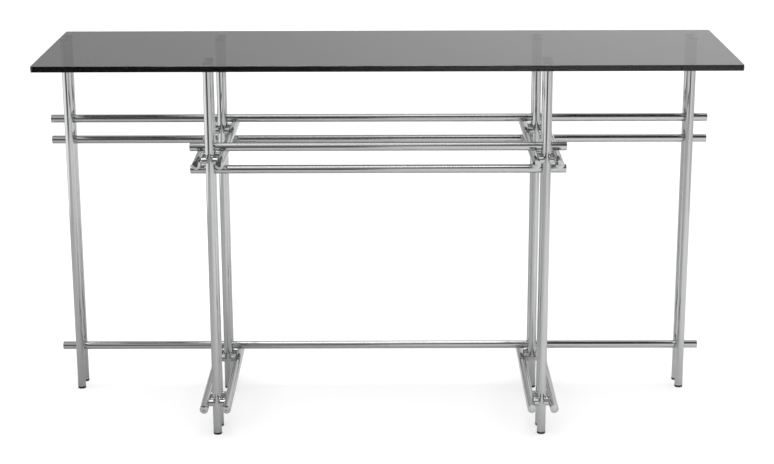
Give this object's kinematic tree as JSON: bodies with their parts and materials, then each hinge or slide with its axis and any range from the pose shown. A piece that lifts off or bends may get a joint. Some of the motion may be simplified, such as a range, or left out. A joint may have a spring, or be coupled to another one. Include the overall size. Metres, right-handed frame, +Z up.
{
  "type": "console table",
  "caption": "Long narrow console table: a smoked-glass top on paired round steel legs crossed by rails and depth rods.",
  "frame": {"origin": "on the floor, midway between the legs", "axes": "+X along the table, +Y towards its back, +Z up"},
  "size_m": [1.538, 0.45, 0.85],
  "materials": {
    "smoked_glass": "polished, smoke grey",
    "polished_steel": "mirror polished",
    "plain_steel": "turned, inside the tubes",
    "black_nylon": "moulded",
    "pad_rubber": "soft, matt"
  },
  "bodies": {
    "root": {"depth_rod_caps": "polished_steel", "depth_rod_inner_left_lower_left": "polished_steel", "depth_rod_inner_left_lower_right": "polished_steel", "depth_rod_inner_left_upper_left": "polished_steel", "depth_rod_inner_left_upper_right": "polished_steel", "depth_rod_inner_right_lower_left": "polished_steel", "depth_rod_inner_right_lower_right": "polished_steel", "depth_rod_inner_right_upper_left": "polished_steel", "depth_rod_inner_right_upper_right": "polished_steel", "foot_glides": "black_nylon", "foot_plugs": "polished_steel", "glass_top": "smoked_glass", "leg_front_inner_left_aft": "polished_steel", "leg_front_inner_left_fore": "polished_steel", "leg_front_inner_right_aft": "polished_steel", "leg_front_inner_right_fore": "polished_steel", "leg_rear_inner_left_aft": "polished_steel", "leg_rear_inner_left_fore": "polished_steel", "leg_rear_inner_right_aft": "polished_steel", "leg_rear_inner_right_fore": "polished_steel", "leg_rear_outer_left_aft": "polished_steel", "leg_rear_outer_left_fore": "polished_steel", "leg_rear_outer_right_aft": "polished_steel", "leg_rear_outer_right_fore": "polished_steel", "leg_top_plugs": "polished_steel", "rail_bushes_front": "polished_steel", "rail_bushes_rear": "polished_steel", "rail_caps_front": "polished_steel", "rail_caps_rear": "polished_steel", "rail_front_middle": "polished_steel", "rail_front_upper": "polished_steel", "rail_pins_front": "plain_steel", "rail_pins_rear": "plain_steel", "rail_rear_lower": "polished_steel", "rail_rear_middle": "polished_steel", "rail_rear_upper": "polished_steel", "rod_bushes_front": "polished_steel", "rod_bushes_rear": "polished_steel", "rod_pins_front": "plain_steel", "rod_pins_rear": "plain_steel", "top_pads": "pad_rubber"}
  },
  "joints": []
}
